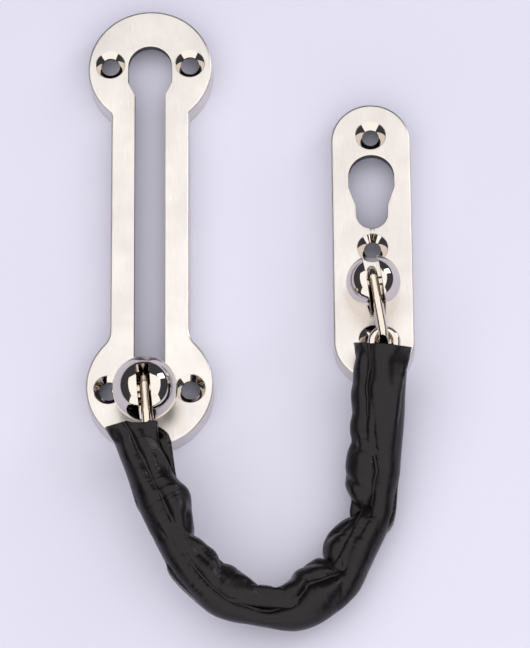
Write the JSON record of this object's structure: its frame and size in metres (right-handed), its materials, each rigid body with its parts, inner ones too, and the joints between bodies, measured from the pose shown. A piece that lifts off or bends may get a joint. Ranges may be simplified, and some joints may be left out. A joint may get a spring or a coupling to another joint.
{
  "type": "door chain guard",
  "caption": "Door security chain: slotted plate with a sliding ball knob, wire chain in a puckered leather sleeve, and a holder plate with a ball post.",
  "frame": {"origin": "middle of the slide plate's four screw holes, at its open back (z = 0 is the surface that both plates' backs lie on)", "axes": "+Z out of the backs towards the plates' faces; +Y along the slide plate, from the resting knob towards the keyhole; +X from the slide plate towards the holder plate"},
  "size_m": [0.1031, 0.2087, 0.0289],
  "materials": {
    "satin_nickel": "satin brushed nickel plating on cast zinc",
    "polished_nickel": "polished nickel plating",
    "link_wire": "polished nickel-plated steel wire",
    "black_leather": "glossy coated black leather, puckered"
  },
  "bodies": {
    "slide_plate": {"slide_plate": "satin_nickel"},
    "knob": {"slide_knob": "polished_nickel", "knob_pin": "polished_nickel"},
    "chain_01": {"link_01": "link_wire", "sleeve_01": "black_leather"},
    "chain_02": {"link_02": "link_wire", "sleeve_02": "black_leather"},
    "chain_03": {"link_03": "link_wire", "sleeve_03": "black_leather"},
    "chain_04": {"link_04": "link_wire", "sleeve_04": "black_leather"},
    "chain_05": {"link_05": "link_wire", "sleeve_05": "black_leather"},
    "chain_06": {"link_06": "link_wire", "sleeve_06": "black_leather"},
    "chain_07": {"link_07": "link_wire", "sleeve_07": "black_leather"},
    "chain_08": {"link_08": "link_wire", "sleeve_08": "black_leather"},
    "chain_09": {"link_09": "link_wire", "sleeve_09": "black_leather"},
    "chain_10": {"link_10": "link_wire", "sleeve_10": "black_leather"},
    "chain_11": {"link_11": "link_wire"},
    "holder": {"holder_plate": "satin_nickel", "post": "polished_nickel", "post_pin": "polished_nickel"}
  },
  "joints": [
    {"name": "knob_slide", "type": "slide", "parent": "slide_plate", "child": "knob", "axis": [0, 1, 0], "range_m": [0, 0.1131]},
    {"name": "knob_pivot", "type": "hinge", "parent": "knob", "child": "chain_01", "pos_m": [-0.0008, -0.0586, 0.019], "axis": [-0.9976, -0.0698, 0], "range_deg": [0, 60]},
    {"name": "link_turn_01", "type": "hinge", "parent": "chain_01", "child": "chain_02", "pos_m": [0.00055, -0.07788, 0.01799], "axis": [0, 0, -1], "range_deg": [-12, 12], "deforming": ["sleeve_01", "sleeve_02"]},
    {"name": "link_turn_02", "type": "hinge", "parent": "chain_02", "child": "chain_03", "pos_m": [0.00273, -0.0934, 0.01717], "axis": [0, 0, -1], "range_deg": [-12, 17], "deforming": ["sleeve_03"]},
    {"name": "link_turn_03", "type": "hinge", "parent": "chain_03", "child": "chain_04", "pos_m": [0.01244, -0.11422, 0.0161], "axis": [0, 0, -1], "range_deg": [-12, 22], "deforming": ["sleeve_04"]},
    {"name": "link_turn_04", "type": "hinge", "parent": "chain_04", "child": "chain_05", "pos_m": [0.02391, -0.12492, 0.01528], "axis": [0, 0, -1], "range_deg": [-12, 39], "deforming": ["sleeve_05"]},
    {"name": "link_turn_05", "type": "hinge", "parent": "chain_05", "child": "chain_06", "pos_m": [0.04638, -0.12649, 0.01087], "axis": [0, 0, -1], "range_deg": [-12, 40], "deforming": ["sleeve_06"]},
    {"name": "link_turn_06", "type": "hinge", "parent": "chain_06", "child": "chain_07", "pos_m": [0.05876, -0.1175, 0.00734], "axis": [0, 0, 1], "range_deg": [-27, 12], "deforming": ["sleeve_07"]},
    {"name": "link_turn_07", "type": "hinge", "parent": "chain_07", "child": "chain_08", "pos_m": [0.06914, -0.09712, 0.00688], "axis": [0, 0, 1], "range_deg": [-23, 12], "deforming": ["sleeve_08"]},
    {"name": "link_turn_08", "type": "hinge", "parent": "chain_08", "child": "chain_09", "pos_m": [0.07022, -0.08161, 0.00907], "axis": [0, 0, 1], "range_deg": [-12, 12], "deforming": ["sleeve_09"]},
    {"name": "link_turn_09", "type": "hinge", "parent": "chain_09", "child": "chain_10", "pos_m": [0.07179, -0.05928, 0.01421], "axis": [0, 0, 1], "range_deg": [-12, 12], "deforming": ["sleeve_10"]},
    {"name": "link_turn_10", "type": "hinge", "parent": "chain_10", "child": "chain_11", "pos_m": [0.07341, -0.04386, 0.01667], "axis": [0, 0, 1], "range_deg": [-15, 12]},
    {"name": "post_pivot", "type": "hinge", "parent": "chain_11", "child": "holder", "pos_m": [0.07041, -0.02495, 0.0195], "axis": [0.9877, 0.1564, 0], "range_deg": [-8, 60]}
  ]
}
